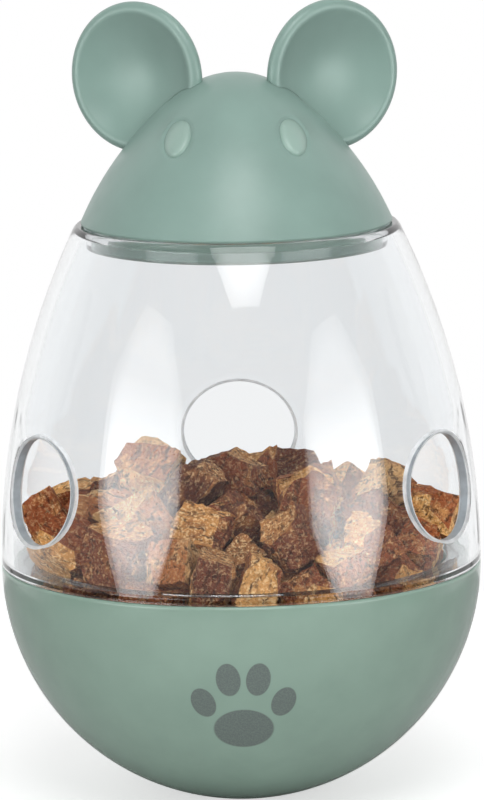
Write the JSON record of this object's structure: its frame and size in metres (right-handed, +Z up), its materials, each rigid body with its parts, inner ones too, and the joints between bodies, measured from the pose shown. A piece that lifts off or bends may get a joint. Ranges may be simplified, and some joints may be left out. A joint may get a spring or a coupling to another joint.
{
  "type": "treat dispensing toy",
  "caption": "Roly-poly treat dispenser for pets: weighted round bowl, clear egg-shaped dome with round treat holes, and a mouse-head lid with dished ears that pulls off for filling.",
  "frame": {"origin": "centre of the flat foot under the bowl, on the surface that the toy stands on", "axes": "+Z up along the axis of the bowl and dome, -Y the way the mouse's face looks, +X to the right of someone facing it"},
  "size_m": [0.08, 0.08, 0.1325],
  "materials": {
    "bowl_plastic": "glossy sage green moulding",
    "weight_iron": "raw casting",
    "floor_plastic": "satin sage green moulding",
    "screw_steel": "zinc plated",
    "clear_plastic": "clear polished moulding",
    "head_plastic": "satin sage green moulding",
    "eye_plastic": "satin pale sage green moulding",
    "plug_plastic": "satin sage green moulding"
  },
  "bodies": {
    "bowl": {"bowl": "bowl_plastic", "counterweight": "weight_iron", "treat_floor": "floor_plastic", "floor_screws": "screw_steel"},
    "dome": {"dome": "clear_plastic"},
    "lid": {"head_shell": "head_plastic", "ear_left": "head_plastic", "ear_right": "head_plastic", "eye_left": "eye_plastic", "eye_right": "eye_plastic", "lid_plug": "plug_plastic", "lid_screws": "screw_steel"}
  },
  "joints": [
    {"name": "dome_turn", "type": "hinge", "parent": "bowl", "child": "dome", "pos_m": [0, 0, 0.0392], "axis": [0, 0, 1], "range_deg": [0, 60]},
    {"name": "lid_lift", "type": "slide", "parent": "dome", "child": "lid", "axis": [0, 0, 1], "range_m": [0, 0.04]}
  ]
}
